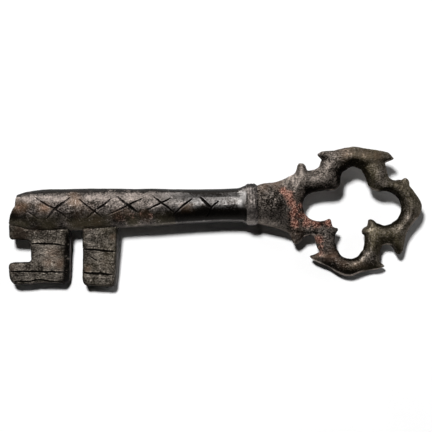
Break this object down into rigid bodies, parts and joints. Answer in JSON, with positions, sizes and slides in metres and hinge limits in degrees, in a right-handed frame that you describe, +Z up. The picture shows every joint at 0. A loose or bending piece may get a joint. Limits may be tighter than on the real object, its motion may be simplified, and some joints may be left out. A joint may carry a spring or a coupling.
{
  "type": "bronze door key",
  "caption": "Large bronze door key with an openwork quatrefoil bow, a bead collar, a hollow swelling barrel and a slotted, notched bit.",
  "frame": {"origin": "centre of the key's plan, at the height of its lowest point, with the key lying at rest", "axes": "+X along the barrel from its mouth to the bow, +Y to the side away from the bits, +Z up. The flat of the key is turned 9.6 degrees about the barrel, bits downward, because it rests on its collar and lower bow bar."},
  "size_m": [0.1202, 0.0384, 0.0122],
  "materials": {
    "barrel_bronze": "dark bronze, rubbed bright along the top, pitted",
    "bit_bronze": "dull grey-brown bronze, rough and scored",
    "bow_bronze": "olive-brown bronze with red-brown crust"
  },
  "bodies": {
    "root": {"barrel": "barrel_bronze", "front_bit": "bit_bronze", "rear_bit": "bit_bronze", "collar": "barrel_bronze", "bow": "bow_bronze"}
  },
  "joints": []
}
